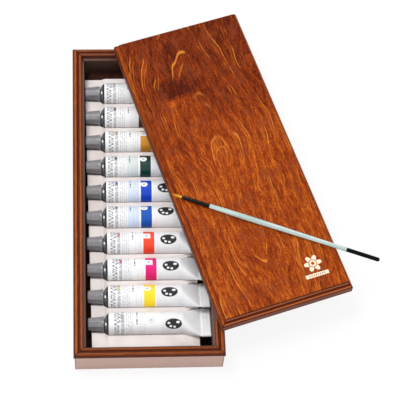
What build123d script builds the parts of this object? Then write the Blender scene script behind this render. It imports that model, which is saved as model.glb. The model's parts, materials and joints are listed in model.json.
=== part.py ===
"""Gouache paint set: a moulded wooden case with a lift-off lid, ten paint tubes in a
formed tray and a brush.

Millimetres. The origin is the centre of the case's underside, +Z is up, +Y runs along
the case and +X across it. The lid lies askew on the case's rim, with the brush on it.
"""
import os
from functools import cache
from math import cos, pi, radians, sin, sqrt

from build123d import *

# ---- case: a mitred frame of moulded rails round a thin floor --------------------------
case_width = 124.0            # across the flat outer walls
case_length = 298.0           # along the flat outer walls
case_wall_height = 26.0       # flat part of the outer wall
case_height = 30.0            # underside to the top of the rim
rail_thickness = 9.5          # outer wall face to inner wall face
rim_overhang = 1.0            # how far the rim's bead stands out of the wall
rim_foot = 0.5                # slope under the rim's bead
bead_inset = 2.1              # crest of the rim's outer bead, from the wall face
groove_inset = 3.7            # bottom of the rim's groove, from the wall face
groove_width = 1.8
groove_depth = 1.6
groove_edge_drop = 0.6        # how far the groove's edges lie below the beads' crests
rebate_inset = 7.0            # outer side of the rebate that takes the lid's lip
rebate_depth = 5.5
floor_thickness = 3.0
floor_seat = 5.0              # how far the floor runs in under the rails

# ---- lid: the same kind of frame with a panel laid on it -------------------------------
lid_width = 116.5             # the lid's wall stands over the groove in the case's rim
lid_length = 287.5
lid_side_height = 7.6         # flat part of the lid's outer wall
lid_quirk_width = 0.5         # small step above the flat wall
lid_quirk_height = 0.9
lid_bead_width = 0.9
lid_bead_height = 1.0
lid_cove_width = 1.4
lid_cove_height = 2.3
lid_fillet_width = 0.9        # small bead beside the panel
lid_fillet_height = 1.3
panel_thickness = 3.6
panel_seat_depth = 1.2        # how far the panel sits below the top of the moulding
panel_edge_radius = 0.5
lip_height = 3.5
lip_thickness = 2.3
lip_clearance = 0.5           # lip to rebate, each side
lid_centre_x = 72.9
lid_centre_y = 23.5
lid_yaw = 17.37               # degrees, anticlockwise seen from above
lid_gap = 0.3                 # rim to lip

# ---- paint tubes ------------------------------------------------------------------------
tube_count = 10
tube_pitch = 25.0
tube_first_y = 109.5
tube_axis_z = 17.0
tube_start_x = -52.08         # free end of the farthest cap
tube_start_step = 0.12        # each nearer tube lies this much further right
tube_radius = 9.6
tube_wall = 0.35
cap_length = 13.4
cap_tip_radius = 5.55
cap_base_radius = 6.7
cap_facets = 8
cap_bore_depth = 10.0
cap_edge_radius = 0.5
cap_gap = 0.4                 # cap to shoulder
neck_radius = 3.3
neck_clearance = 0.3
neck_root = 0.5               # how far the neck runs into the shoulder
nozzle_radius = 1.5
shoulder_radius = 5.2
shoulder_length = 3.7
body_length = 62.0            # round part of the tube
taper_length = 15.0           # where the tube flattens
crimp_length = 8.6
crimp_thickness = 1.4
crimp_tilt = 27.0             # degrees by which the flat end's near edge is turned up
last_crimp_tilt = 17.0        # the nearest tube's lies flatter
paint_clearance = 0.3
paint_taper_share = 0.8       # how much of the tapering end the paint fills

# ---- formed tray ------------------------------------------------------------------------
tray_sheet = 0.9
tray_far_start_x = -52.1      # the tray's capped side slants a little across the case
tray_near_start_x = -47.6
tray_end_x = 42.6
tray_near_y = -137.0
tray_far_y = 126.0
tray_top_z = 15.5
tray_cap_top_z = 13.5         # lower step beside the caps
tray_ramp_length = 3.0        # slope between the two levels
trough_clearance = 0.3        # tube to trough
cap_trough_clearance = 0.5    # cap to trough
room_lead = 3.5               # the room for a flat end starts this far before the taper
room_travel = 3.6             # and is full this far before the flat end, to tip the tube
room_inner_angle = 52.0       # degrees below the axis where the room leaves the trough
room_outer_angle = 34.0       # the same for its outer corner, where it starts
room_start_share = 0.98       # of the trough's radius, so that it starts inside the trough
room_full_share = 1.1

# ---- brush ------------------------------------------------------------------------------
brush_length = 186.5
brush_tip_x = 19.6
brush_tip_y = -10.55
brush_yaw = -20.6             # degrees, from +X
brush_gap = 0.3               # panel to handle
ferrule_start = 11.2          # from the hair's tip
ferrule_end = 36.0
ferrule_mouth_radius = 1.4
ferrule_root_radius = 1.85
ferrule_wall = 0.25
ferrule_rings = (29.0, 31.5)  # rolled grooves, from the hair's tip
ferrule_ring_depth = 0.18
ferrule_ring_shape = ((-0.5, 0), (-0.2, 1), (0.2, 1), (0.5, 0))  # offset along, share of the depth
handle_belly_radius = 2.2
handle_belly_at = 52.0        # from the hair's tip
handle_waist_at = 115.0       # where the handle is halfway from its belly to its end's radius
handle_root_slope = 0.03      # how it widens where it leaves the ferrule
handle_end_radius = 1.8
handle_tenon_length = 9.0
handle_tenon_taper = 0.25
handle_clearance = 0.05
hair_count = 300
hair_width = 0.055            # circle round each three-sided hair
hair_least_step = 0.3         # shortest length between two of a hair's sections
hair_root_depth = 0.3         # how deep the hairs run into their backing
hair_backing = 1.2            # slice that holds the hairs
hair_backing_radius = 1.08
hair_bundle_radius = 1.0
hair_shortening = 0.42        # how much shorter the outermost hairs are
hair_shape = ((0.0, 1.0), (0.15, 1.02), (0.5, 1.2), (1.0, 0.15))  # share of length, spread

# ---- sizes that follow from the ones above ----------------------------------------------
rebate_width = case_width - 2 * rebate_inset
lip_inset = (lid_width - rebate_width) / 2 + lip_clearance
lid_rail_thickness = lip_inset + lip_thickness
lid_moulding_width = lid_quirk_width + lid_bead_width + lid_cove_width + lid_fillet_width
lid_moulding_height = lid_quirk_height + lid_bead_height + lid_cove_height + lid_fillet_height
moulding_top = lid_side_height + lid_moulding_height
panel_base = moulding_top - panel_seat_depth
panel_width = lid_width - 2 * lid_moulding_width
panel_length = lid_length - 2 * lid_moulding_width
lid_base_z = case_height + lid_gap + lip_height
panel_top_z = lid_base_z + panel_base + panel_thickness

neck_start = cap_length - cap_bore_depth + neck_clearance
shoulder_start = cap_length + cap_gap
body_start = shoulder_start + shoulder_length
body_end = body_start + body_length
crimp_start = body_end + taper_length
tube_length = crimp_start + crimp_length
crimp_half_width = pi * tube_radius / 2


def drawn_face(start, steps):
    """Closed face from a start point and steps: (end) for a line, (via, end) for an arc."""
    edges = []
    here = start
    for step in steps:
        end = step[-1]
        if len(step) == 1:
            edges.append(Line(here, end))
        else:
            edges.append(ThreePointArc(here, step[0], end))
        here = end
    edges.append(Line(here, start))
    return make_face(Curve() + edges)


def mitred_rail(face, half_width, half_length, overhang, depth):
    """The -X rail of a frame: the upright profile run along Y and cut at 45 degrees."""
    run = extrude(Plane.XZ * Pos(-half_width, 0) * face, half_length + overhang, both=True)
    out_x = -half_width - overhang
    out_y = half_length + overhang
    in_x = -half_width + depth
    in_y = half_length - depth
    plan = make_face(Polyline((out_x, -out_y), (out_x, out_y), (in_x, in_y), (in_x, -in_y), close=True))
    tall = case_height + lip_height
    return run & extrude(plan, tall, both=True)


def frame_rails(name, face, width, length, overhang, depth):
    """The four rails of a mitred frame, by name."""
    rails = {}
    sides = (("left", width, length, 0), ("near", length, width, 90),
             ("right", width, length, 180), ("far", length, width, 270))
    for side, across, along, turn in sides:
        rail = mitred_rail(face, across / 2, along / 2, overhang, depth)
        rails[f"{name}_rail_{side}"] = Rot(0, 0, turn) * rail
    return rails


def quarter_via(start, end, hollow=False):
    """The middle of a quarter turn from start up to end, swelling out or hollowed in."""
    near = 1 - cos(pi / 4)
    far = sin(pi / 4)
    across, up = (far, near) if hollow else (near, far)
    return start[0] + (end[0] - start[0]) * across, start[1] + (end[1] - start[1]) * up


def case_profile():
    """Section of a case rail: x runs inwards from the outer wall, y is the height."""
    foot = (-rim_overhang, case_wall_height + rim_foot)
    crest = (bead_inset, case_height)
    groove_top = case_height - groove_edge_drop
    groove_start = (groove_inset - groove_width / 2, groove_top)
    groove_end = (groove_inset + groove_width / 2, groove_top)
    second_crest = ((groove_end[0] + rebate_inset) / 2, case_height)
    floor_edge = rail_thickness - floor_seat
    return drawn_face((0, 0), [
        ((0, case_wall_height),),
        (foot,),
        (quarter_via(foot, crest), crest),
        (groove_start,),
        ((groove_inset, case_height - groove_depth), groove_end),
        (second_crest, (rebate_inset, groove_top)),
        ((rebate_inset, case_height - rebate_depth),),
        ((rail_thickness, case_height - rebate_depth),),
        ((rail_thickness, floor_thickness),),
        ((floor_edge, floor_thickness),),
        ((floor_edge, 0),),
    ])


def case_floor():
    """The thin floor, let into the underside of the rails."""
    seat = 2 * (rail_thickness - floor_seat)
    low = Align.MIN
    mid = Align.CENTER
    return Box(case_width - seat, case_length - seat, floor_thickness, align=(mid, mid, low))


def lid_profile():
    """Section of a lid rail: x runs inwards from the outer wall, y is above the underside."""
    bead_start = (lid_quirk_width, lid_side_height + lid_quirk_height)
    bead_end = (bead_start[0] + lid_bead_width, bead_start[1] + lid_bead_height)
    cove_end = (bead_end[0] + lid_cove_width, bead_end[1] + lid_cove_height)
    top = (lid_moulding_width, moulding_top)
    return drawn_face((0, 0), [
        ((0, lid_side_height),),
        (bead_start,),
        (quarter_via(bead_start, bead_end), bead_end),
        (quarter_via(bead_end, cove_end, hollow=True), cove_end),
        (quarter_via(cove_end, top), top),
        ((lid_moulding_width, panel_base),),
        ((lid_rail_thickness, panel_base),),
        ((lid_rail_thickness, -lip_height),),
        ((lip_inset, -lip_height),),
        ((lip_inset, 0),),
    ])


def lid_panel():
    """The flat board laid in the lid frame's seat."""
    base = Align.MIN
    mid = Align.CENTER
    board = Box(panel_width, panel_length, panel_thickness, align=(mid, mid, base))
    rounded = min(panel_edge_radius, panel_thickness / 3)
    board = fillet(board.edges().group_by(Axis.Z)[-1], rounded)
    return Pos(0, 0, panel_base) * board


def lid_place():
    """Where the lid's own frame lies on the case."""
    return Pos(lid_centre_x, lid_centre_y, lid_base_z) * Rot(0, 0, lid_yaw)


def crimp_angle(index):
    """How far a tube's flat end is turned, in radians."""
    return radians(last_crimp_tilt if index == tube_count - 1 else crimp_tilt)


def flat_end_plane(x, angle):
    """An upright plane across the tube whose x runs along its flat end, down to the far side."""
    return Plane(origin=(x, 0, 0), x_dir=(0, cos(angle), -sin(angle)), z_dir=(1, 0, 0))


def tube_section(x, half_width, half_height, angle):
    """An upright section across the tube, wide along the direction of its flat end."""
    plane = flat_end_plane(x, angle)
    if half_width == half_height:
        return plane * Circle(half_width)
    return plane * Ellipse(half_width, half_height)


def turned(points):
    """A solid of revolution about X from (x, radius) points that run along the axis."""
    start_x = points[0][0]
    end_x = points[-1][0]
    profile = make_face(Polyline((start_x, 0), *points, (end_x, 0), close=True))
    return revolve(profile, Axis.X)


def tube_filled(shrink, start, end_share, angle):
    """The tube's round part and taper as one solid, drawn in by shrink all over."""
    radius = tube_radius - shrink
    neck_side = shoulder_radius - shrink
    body = turned([(start, neck_side), (body_start + shrink / 2, radius), (body_end, radius)])
    flat_height = crimp_thickness / 2
    wide = tube_radius + (crimp_half_width - tube_radius) * end_share - shrink
    high = tube_radius + (flat_height - tube_radius) * end_share - shrink
    if end_share == 1:
        high = max(high, flat_height / 3)
    end_x = body_end + taper_length * end_share
    taper = loft([tube_section(body_end, radius, radius, angle), tube_section(end_x, wide, high, angle)])
    return body + taper


@cache
def tube_shell(angle):
    """The thin metal tube: neck, shoulder, round body, flattened end and its folded crimp."""
    outside = tube_filled(0, shoulder_start, 1, angle)
    neck = turned([(neck_start, neck_radius), (shoulder_start + neck_root, neck_radius)])
    fold_face = flat_end_plane(crimp_start, angle) * Rectangle(2 * crimp_half_width, crimp_thickness)
    fold = extrude(fold_face, crimp_length)
    inside = tube_filled(tube_wall, shoulder_start + tube_wall, 1, angle)
    nozzle = turned([(neck_start - 1, nozzle_radius), (body_start, nozzle_radius)])
    return outside + neck + fold - inside - nozzle


@cache
def paint_fill(angle):
    """The paint inside a tube."""
    shrink = tube_wall + paint_clearance
    return tube_filled(shrink, shoulder_start + shrink, paint_taper_share, angle)


def tube_cap():
    """A faceted cap, narrower at its free end, with a bore for the neck."""
    wide = Plane(origin=(cap_length, 0, 0), x_dir=(0, 1, 0), z_dir=(1, 0, 0))
    narrow = Plane(origin=(0, 0, 0), x_dir=(0, 1, 0), z_dir=(1, 0, 0))
    turn = 180 / cap_facets
    base = wide * RegularPolygon(cap_base_radius, cap_facets, rotation=turn)
    tip = narrow * RegularPolygon(cap_tip_radius, cap_facets, rotation=turn)
    body = loft([tip, base], ruled=True)
    body = fillet(body.edges().group_by(Axis.X)[0], min(cap_edge_radius, cap_tip_radius / 4))
    bore_start = cap_length - cap_bore_depth
    return body - turned([(bore_start, neck_radius + neck_clearance),
                          (cap_length + 1, neck_radius + neck_clearance)])


def tube_place(index):
    """Where a tube's own frame lies: its axis along X, its cap's end at the origin."""
    return Pos(tube_start_x + index * tube_start_step, tube_first_y - index * tube_pitch, tube_axis_z)


def tray_side(inset):
    """The tray before it is hollowed: a stepped block whose capped side slants."""
    step_x = tube_start_x + (tube_count - 1) * tube_start_step + shoulder_start + inset
    low_top = tray_cap_top_z - inset
    high_top = tray_top_z - inset
    high_x = tray_end_x - inset
    outer_x = -case_width / 2
    outline = Polyline((outer_x, floor_thickness), (outer_x, low_top), (step_x, low_top),
                       (step_x + tray_ramp_length, high_top), (high_x, high_top),
                       (high_x, floor_thickness), close=True)
    far_y = tray_far_y - inset
    near_y = tray_near_y + inset
    stepped = Pos(0, far_y, 0) * extrude(Plane.XZ * make_face(outline), far_y - near_y)
    plan = make_face(Polyline((tray_far_start_x + inset, far_y), (case_width, far_y), (case_width, near_y),
                              (tray_near_start_x + inset, near_y), close=True))
    return stepped & extrude(plan, case_height)


def room_section(x, radius, out_y, down_z):
    """Section of the room beside a trough, from inside it to its outer corner, open upwards."""
    turn = radians(room_inner_angle)
    plane = Plane(origin=(x, 0, 0), x_dir=(0, 1, 0), z_dir=(1, 0, 0))
    inner_corner = (radius * cos(turn), -radius * sin(turn))
    corners = [(0, 0), (0, -radius / 2), inner_corner, (out_y, -down_z), (out_y, 0)]
    return plane * make_face(Polyline(*corners, close=True))


def flat_end_room(angle, grow):
    """Room beside a trough for the lower corner of the tube's flat end."""
    spare = trough_clearance + grow
    trough = tube_radius + spare
    half = crimp_thickness / 2
    reach = crimp_half_width * cos(angle) + half * sin(angle) + spare
    drop = crimp_half_width * sin(angle) + half * cos(angle) + spare
    start_x = body_end - room_lead - grow
    full_x = crimp_start - room_travel - grow
    turn = radians(room_outer_angle)
    inside = trough * room_start_share
    first = room_section(start_x, inside, inside * cos(turn), inside * sin(turn))
    full = room_section(full_x, trough * room_full_share, reach, max(drop, inside * sin(turn)))
    return loft([first, full], ruled=True) + extrude(full, crimp_length)


def tray_hollows(grow):
    """The ten troughs with the room for the flat ends, grown by the sheet where asked."""
    cap_trough = cap_base_radius + cap_trough_clearance + grow
    trough = tube_radius + trough_clearance + grow
    narrow_end = shoulder_start - cap_trough_clearance - grow
    wide_start = body_start - cap_trough_clearance - grow
    pocket = turned([(-tube_length, cap_trough), (narrow_end, cap_trough),
                     (wide_start, trough), (tube_length, trough)])
    hollows = []
    for index in range(tube_count):
        hollows.append(tube_place(index) * (pocket + flat_end_room(crimp_angle(index), grow)))
    return hollows


def tray():
    """The thin formed sheet that holds the tubes, open underneath."""
    block = tray_side(0) - tray_hollows(0)
    core = tray_side(tray_sheet) - tray_hollows(tray_sheet)
    return block - core


def brush_place():
    """Where the brush's own frame lies: its axis along X, the hair's tip at the origin."""
    lift = panel_top_z + brush_gap + handle_belly_radius
    return Pos(brush_tip_x, brush_tip_y, lift) * Rot(0, 0, brush_yaw)


def brush_handle():
    """A slim turned handle with a belly near the ferrule and a rounded end."""
    tenon = ferrule_root_radius - ferrule_wall - handle_clearance
    tenon_x = ferrule_end - handle_tenon_length
    tip_x = brush_length - handle_end_radius
    shoulder = ferrule_end + handle_clearance
    outline = Curve() + [
        Line((tenon_x, 0), (tenon_x, tenon - handle_tenon_taper)),
        Line((tenon_x, tenon - handle_tenon_taper), (shoulder, tenon)),
        Line((shoulder, tenon), (shoulder, ferrule_root_radius)),
        Spline((shoulder, ferrule_root_radius), (handle_belly_at, handle_belly_radius),
               (handle_waist_at, (handle_belly_radius + handle_end_radius) / 2),
               (tip_x, handle_end_radius), tangents=((1, handle_root_slope), (1, 0))),
        ThreePointArc((tip_x, handle_end_radius),
                      (tip_x + handle_end_radius * sin(pi / 4), handle_end_radius * cos(pi / 4)),
                      (brush_length, 0)),
        Line((brush_length, 0), (tenon_x, 0)),
    ]
    return revolve(make_face(outline), Axis.X)


def ferrule_radius(x):
    """Outer radius of the ferrule at a distance from the hair's tip."""
    share = (x - ferrule_start) / (ferrule_end - ferrule_start)
    return ferrule_mouth_radius + (ferrule_root_radius - ferrule_mouth_radius) * share


def brush_ferrule():
    """A tapered metal tube with two rolled grooves."""
    points = [(ferrule_start, ferrule_mouth_radius)]
    for ring in ferrule_rings:
        for offset, share in ferrule_ring_shape:
            points.append((ring + offset, ferrule_radius(ring + offset) - share * ferrule_ring_depth))
    points.append((ferrule_end, ferrule_root_radius))
    outside = turned(points)
    bore = turned([(ferrule_start - 1, ferrule_radius(ferrule_start - 1) - ferrule_wall),
                   (ferrule_end + 1, ferrule_radius(ferrule_end + 1) - ferrule_wall)])
    return outside - bore


def hair_scale(x, root_x):
    """How far the bundle has spread or drawn in at a distance from the tip."""
    share = (root_x - x) / root_x
    for (low, low_scale), (high, high_scale) in zip(hair_shape, hair_shape[1:]):
        if share <= high:
            return low_scale + (high_scale - low_scale) * (share - low) / (high - low)
    return hair_shape[-1][1]


def hair_wire(x, y, z, size):
    """A three-sided section of one hair."""
    corners = []
    for corner in range(3):
        angle = 2 * pi * corner / 3
        corners.append((x, y + size * cos(angle), z + size * sin(angle)))
    return Wire.make_polygon(corners, close=True)


def brush_tuft():
    """A pointed bundle of separate hairs, set in a slice of their backing."""
    root_x = ferrule_start + hair_backing
    golden_angle = pi * (3 - sqrt(5))
    backing = turned([(root_x, hair_backing_radius), (root_x + hair_backing, hair_backing_radius)])
    hairs = []
    for index in range(hair_count):
        reach = sqrt((index + 0.5) / hair_count)
        angle = index * golden_angle
        tip_x = root_x * hair_shortening * reach ** 2
        stations = [root_x + hair_root_depth]
        for share, _ in hair_shape[1:-1]:
            if root_x * (1 - share) > tip_x + hair_least_step:
                stations.append(root_x * (1 - share))
        stations.append(tip_x)
        wires = []
        for x in stations:
            spread = hair_scale(min(x, root_x), root_x)
            size = hair_width * min(spread, 1)
            radius = hair_bundle_radius * reach * spread
            wires.append(hair_wire(x, radius * cos(angle), radius * sin(angle), size))
        hairs.append(Solid.make_loft(wires, ruled=True))
    return backing.fuse(*hairs)


def build():
    """Every node of the paint set, by name."""
    nodes = {"case_floor": case_floor(), "tray": tray()}
    nodes.update(frame_rails("case", case_profile(), case_width, case_length, rim_overhang, rail_thickness))

    lid = {"lid_panel": lid_panel()}
    lid.update(frame_rails("lid", lid_profile(), lid_width, lid_length, 0, lid_rail_thickness))
    for name, piece in lid.items():
        nodes[name] = lid_place() * piece

    cap = tube_cap()
    for index in range(tube_count):
        number = f"{index + 1:02d}"
        angle = crimp_angle(index)
        nodes[f"tube_{number}"] = tube_place(index) * tube_shell(angle)
        nodes[f"paint_{number}"] = tube_place(index) * paint_fill(angle)
        nodes[f"tube_cap_{number}"] = tube_place(index) * cap

    nodes["brush_handle"] = brush_place() * brush_handle()
    nodes["brush_ferrule"] = brush_place() * brush_ferrule()
    nodes["brush_tuft"] = brush_place() * brush_tuft()
    return nodes


def main():
    """Writes one STEP file for each node."""
    os.makedirs("parts", exist_ok=True)
    for name, piece in build().items():
        piece.label = name
        export_step(piece, f"parts/{name}.step")
        print(name, round(piece.volume, 2))


if __name__ == "__main__":
    main()
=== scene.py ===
"""The looks of a gouache paint set: a stained wooden case with its lid lying askew on it,
ten printed paint tubes in a formed tray, and a brush on the lid.

Lengths are written in millimetres and scaled by MM where a mesh is made. The frame is the
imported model's own: origin under the middle of the case, +Z up, +Y along the case.
"""

import json
import logging
import math
from dataclasses import dataclass, field
from enum import Enum
from typing import Any, Optional, Sequence, Union

import bmesh
import bpy
from mathutils import Euler, Matrix, Vector

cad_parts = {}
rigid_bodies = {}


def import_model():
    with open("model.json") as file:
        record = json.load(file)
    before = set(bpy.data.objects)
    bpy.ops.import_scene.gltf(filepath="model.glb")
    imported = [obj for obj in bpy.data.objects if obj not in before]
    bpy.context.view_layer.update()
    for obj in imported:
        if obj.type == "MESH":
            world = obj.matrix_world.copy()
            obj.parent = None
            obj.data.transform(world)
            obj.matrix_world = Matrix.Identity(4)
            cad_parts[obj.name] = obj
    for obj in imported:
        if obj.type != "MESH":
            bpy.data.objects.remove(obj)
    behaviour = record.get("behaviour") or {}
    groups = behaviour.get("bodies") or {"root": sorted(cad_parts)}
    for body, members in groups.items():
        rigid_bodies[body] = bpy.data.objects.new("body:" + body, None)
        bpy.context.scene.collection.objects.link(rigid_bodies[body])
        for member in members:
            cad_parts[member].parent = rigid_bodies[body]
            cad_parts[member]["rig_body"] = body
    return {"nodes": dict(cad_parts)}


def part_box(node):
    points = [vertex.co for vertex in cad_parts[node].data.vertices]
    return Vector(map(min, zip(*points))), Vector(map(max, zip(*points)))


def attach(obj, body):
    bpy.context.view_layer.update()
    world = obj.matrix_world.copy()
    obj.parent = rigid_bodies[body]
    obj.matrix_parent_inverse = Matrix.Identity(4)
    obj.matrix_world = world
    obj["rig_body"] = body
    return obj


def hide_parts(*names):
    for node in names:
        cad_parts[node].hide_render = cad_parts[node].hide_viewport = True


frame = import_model()

LOG = logging.getLogger("paint_set")
MM = 0.001
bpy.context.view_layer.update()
WELD = 0.002 * MM
SEAM = 0.004 * MM
FLAT_ANGLE = math.radians(0.6)
CREASE_ANGLE = math.radians(34)

Colour = tuple[float, float, float]
Socket = bpy.types.NodeSocket
Value = Union[float, Sequence[float], Socket]


class GrainAxis(Enum):
    """The direction that a board's grain runs in, in its own frame."""

    ACROSS = "x"
    ALONG = "y"


class Figure(Enum):
    """How the growth rings show on a board's face."""

    STRAIGHT = "straight"
    CATHEDRAL = "cathedral"


class Graph:
    """Short calls for the nodes that the finishes and the shapes share."""

    def __init__(self, tree: bpy.types.NodeTree) -> None:
        """Keep the tree.

        Args:
            tree: The shader or geometry node tree to add to.
        """
        self.tree = tree
        self.shader = tree.bl_idname == "ShaderNodeTree"

    def set(self, socket: Socket, value: Value) -> None:
        """Link a socket, or set its constant.

        Args:
            socket: The input.
            value: A number, a colour, a vector or another node's output.
        """
        if isinstance(value, bpy.types.NodeSocket):
            self.tree.links.new(value, socket)
        elif socket.type in ("RGBA", "VECTOR", "ROTATION"):
            size = len(socket.default_value)
            values = tuple(value) if hasattr(value, "__len__") else (value,) * size
            socket.default_value = (values + (1.0,) * size)[:size]
        else:
            socket.default_value = value

    def add(self, kind: str, inputs: Optional[dict[Any, Value]] = None,
            **settings: Any) -> bpy.types.Node:
        """Add a node.

        Args:
            kind: The node's type name.
            inputs: Values for its inputs, by name or by index.
            **settings: The node's own properties.

        Returns:
            The new node.
        """
        node = self.tree.nodes.new(kind)
        for name, value in settings.items():
            setattr(node, name, value)
        for key, value in (inputs or {}).items():
            self.set(node.inputs[key], value)
        return node

    def math(self, operation: str, first: Value, second: Value = 0.0, third: Value = 0.0) -> Socket:
        """Work out one number.

        Args:
            operation: The Math node's operation.
            first: Its first value.
            second: Its second value, where it has one.
            third: Its third value, where it has one.

        Returns:
            The result.
        """
        node = self.add("ShaderNodeMath", operation=operation)
        for socket, value in zip(node.inputs, (first, second, third)):
            self.set(socket, value)
        return node.outputs[0]

    def minus(self, first: Value, second: Value) -> Socket:
        """Take the second number from the first."""
        return self.math("SUBTRACT", first, second)

    def opposite(self, value: Value) -> Socket:
        """One less the number, which turns a mask inside out."""
        return self.math("SUBTRACT", 1.0, value)

    def distance(self, right: Socket, up: Socket) -> Socket:
        """How far a place lies from the middle, by its two offsets."""
        return self.math("SQRT", self.total(self.product(right, right), self.product(up, up)))

    def total(self, *values: Value) -> Socket:
        """Add numbers up.

        Args:
            *values: Two or more numbers.

        Returns:
            Their sum.
        """
        result = values[0]
        for value in values[1:]:
            result = self.math("ADD", result, value)
        return result

    def product(self, *values: Value) -> Socket:
        """Multiply numbers.

        Args:
            *values: Two or more numbers.

        Returns:
            Their product.
        """
        result = values[0]
        for value in values[1:]:
            result = self.math("MULTIPLY", result, value)
        return result

    def ease(self, value: Value, low: float, high: float, start: float = 0.0, end: float = 1.0) -> Socket:
        """Map a range smoothly onto another and hold it past the ends.

        Args:
            value: The number to map.
            low: Where the change starts.
            high: Where it ends.
            start: The result before it.
            end: The result after it.

        Returns:
            The mapped number.
        """
        return self.remap("SMOOTHSTEP", value, low, high, start, end)

    def slope(self, value: Value, low: Value, high: Value, start: Value, end: Value) -> Socket:
        """Map a range evenly onto another and hold it past the ends.

        Args:
            value: The number to map.
            low: Where the change starts.
            high: Where it ends.
            start: The result before it.
            end: The result after it.

        Returns:
            The mapped number.
        """
        return self.remap("LINEAR", value, low, high, start, end)

    def remap(self, kind: str, *values: Value) -> Socket:
        """Map a range onto another and hold it past the ends.

        Args:
            kind: How the node goes from end to end.
            *values: The number, the two ends of its range and the two results.

        Returns:
            The mapped number.
        """
        node = self.add("ShaderNodeMapRange", interpolation_type=kind, clamp=True)
        for socket, value in zip(node.inputs, values):
            self.set(socket, value)
        return node.outputs[0]

    def span(self, value: Value, low: float, high: float, soft: float) -> Socket:
        """A band that is 1 between two values.

        Args:
            value: The number to test.
            low: Where the band starts.
            high: Where it ends.
            soft: How wide its edges are.

        Returns:
            The band, 0 to 1.
        """
        rise = self.ease(value, low - soft / 2, low + soft / 2)
        fall = self.ease(value, high - soft / 2, high + soft / 2, 1.0, 0.0)
        return self.product(rise, fall)

    def vector(self, x: Value, y: Value, z: Value) -> Socket:
        """Join three numbers into a vector."""
        return self.add("ShaderNodeCombineXYZ", {0: x, 1: y, 2: z}).outputs[0]

    def split(self, vector: Socket) -> tuple[Socket, Socket, Socket]:
        """Take a vector apart into its three numbers."""
        outputs = self.add("ShaderNodeSeparateXYZ", {0: vector}).outputs
        return outputs[0], outputs[1], outputs[2]

    def noise(self, vector: Socket, scale: float, detail: float = 2.0, rough: float = 0.5) -> Socket:
        """Cloudy noise.

        Args:
            vector: Where it is read.
            scale: Its frequency.
            detail: How many finer layers it has.
            rough: How strong those are.

        Returns:
            The noise, about 0 to 1.
        """
        inputs = {"Vector": vector, "Scale": scale, "Detail": detail, "Roughness": rough}
        return self.add("ShaderNodeTexNoise", inputs).outputs[0]

    def grain(self, across: Socket, along: Socket, scales: tuple[float, float], seed: float,
              detail: float = 3.0, rough: float = 0.5) -> Socket:
        """Cloudy noise over a sheet, with its own frequency each way.

        Args:
            across: The distance across the sheet.
            along: The distance along it.
            scales: The frequencies across and along.
            seed: Which noise it is.
            detail: How many finer layers it has.
            rough: How strong those are.

        Returns:
            The noise, about 0 to 1.
        """
        spot = self.vector(self.product(across, scales[0]), self.product(along, scales[1]), seed)
        return self.noise(spot, 1.0, detail, rough)

    def mix(self, amount: Value, first: Value, second: Value) -> Socket:
        """Blend two colours.

        Args:
            amount: How much of the second.
            first: The first colour.
            second: The second colour.

        Returns:
            The blend.
        """
        node = self.add("ShaderNodeMix", data_type="RGBA", clamp_factor=True)
        self.set(node.inputs[0], amount)
        self.set(node.inputs[6], first)
        self.set(node.inputs[7], second)
        return node.outputs[2]

    def ramp(self, value: Socket, stops: Sequence[tuple[float, Colour]]) -> Socket:
        """Colour a number.

        Args:
            value: The number, 0 to 1.
            stops: Positions and colours, in order.

        Returns:
            The colour.
        """
        node = self.add("ShaderNodeValToRGB", {0: value})
        band = node.color_ramp
        while len(band.elements) < len(stops):
            band.elements.new(1.0)
        for element, (position, colour) in zip(band.elements, stops):
            element.position = position
            element.color = (*colour, 1.0)
        return node.outputs[0]

    def local(self, place: "Place") -> tuple[Socket, Socket, Socket]:
        """Object coordinates in a piece's own frame, in millimetres.

        Args:
            place: Where that frame lies.

        Returns:
            The three coordinates.
        """
        source = self.add("ShaderNodeTexCoord").outputs["Object"]
        inputs = {
            "Vector": source,
            "Location": tuple(MM * number for number in place.origin),
            "Rotation": (0.0, 0.0, math.radians(place.yaw)),
            "Scale": (MM, MM, MM),
        }
        return self.split(self.add("ShaderNodeMapping", inputs, vector_type="TEXTURE").outputs[0])

    def surface(self, colour: Value, roughness: Value, height: Optional[Socket] = None, depth: float = 0.0,
                **constants: Value) -> None:
        """Finish a material with its shader.

        Args:
            colour: Its base colour.
            roughness: Its roughness.
            height: Its relief, 0 to 1.
            depth: How deep the relief is, in millimetres.
            **constants: Other inputs of the shader, with underscores for spaces.
        """
        shader = self.add("ShaderNodeBsdfPrincipled", {"Base Color": colour, "Roughness": roughness})
        for name, value in constants.items():
            self.set(shader.inputs[name.replace("_", " ")], value)
        if height is not None:
            inputs = {"Height": height, "Distance": depth * MM, "Strength": 1.0}
            self.set(shader.inputs["Normal"], self.add("ShaderNodeBump", inputs).outputs[0])
        output = self.add("ShaderNodeOutputMaterial")
        self.set(output.inputs[0], shader.outputs[0])


@dataclass(frozen=True)
class Place:
    """Where a sub-assembly's own frame lies, in millimetres and degrees."""

    origin: tuple[float, float, float] = (0.0, 0.0, 0.0)
    yaw: float = 0.0

    def matrix(self) -> Matrix:
        """The place as a matrix in metres."""
        turn = Euler((0.0, 0.0, math.radians(self.yaw))).to_matrix().to_4x4()
        return Matrix.Translation(Vector(self.origin) * MM) @ turn


def new_material(name: str) -> tuple[bpy.types.Material, Graph]:
    """Make an empty node material.

    Args:
        name: Its name.

    Returns:
        The material and a graph on its tree.
    """
    material = bpy.data.materials.new(name)
    material.use_nodes = True
    material.node_tree.nodes.clear()
    return material, Graph(material.node_tree)


class Measure(Enum):
    """What a stripe on a rail is measured by."""

    HEIGHT = "height"
    INSET = "inset"


@dataclass(frozen=True)
class Band:
    """A tinted stripe along a rail, between two heights or two distances from the outer wall, that paints
    light and shade on the moulding.
    """

    low: float
    high: float
    tint: Colour
    amount: float
    by: Measure = Measure.HEIGHT
    above: float = -100.0


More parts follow.
